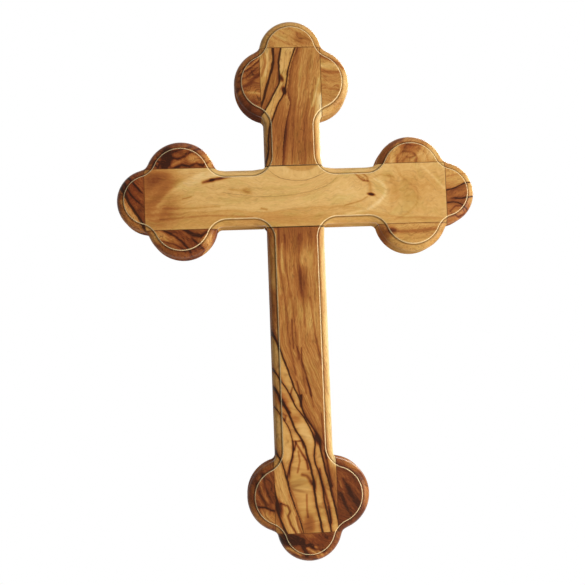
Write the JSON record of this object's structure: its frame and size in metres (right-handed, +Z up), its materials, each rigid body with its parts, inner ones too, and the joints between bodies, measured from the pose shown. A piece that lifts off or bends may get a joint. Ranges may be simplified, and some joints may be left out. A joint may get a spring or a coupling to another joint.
{
  "type": "budded cross",
  "caption": "Flat wooden wall cross with three round buds glued round each arm end, a routed front edge and a sawtooth hanger on its back.",
  "frame": {"origin": "middle of the crossing, on the flat back", "axes": "+Z up along the post, +X to the viewer's right, the front faces -Y and the back faces +Y"},
  "size_m": [0.166, 0.0167, 0.2496],
  "materials": {
    "olive_post": "satin varnish over figured olive wood",
    "olive_bar": "satin varnish over figured olive wood",
    "olive_bud_golden": "satin varnish over figured olive wood",
    "olive_bud_red_brown": "satin varnish over figured olive wood",
    "olive_bud_dark": "satin varnish over figured olive wood",
    "hanger_metal": "brass-plated pressed steel"
  },
  "bodies": {
    "root": {"post": "olive_post", "crossbar": "olive_bar", "top_end_bud": "olive_bud_golden", "top_right_bud": "olive_bud_golden", "top_left_bud": "olive_bud_red_brown", "left_end_bud": "olive_bud_red_brown", "left_upper_bud": "olive_bud_red_brown", "left_lower_bud": "olive_bud_red_brown", "right_end_bud": "olive_bud_golden", "right_upper_bud": "olive_bud_golden", "right_lower_bud": "olive_bud_golden", "bottom_end_bud": "olive_bud_dark", "bottom_left_bud": "olive_bud_dark", "bottom_right_bud": "olive_bud_dark", "hanger_plate": "hanger_metal", "hanger_nail_left": "hanger_metal", "hanger_nail_right": "hanger_metal"}
  },
  "joints": []
}
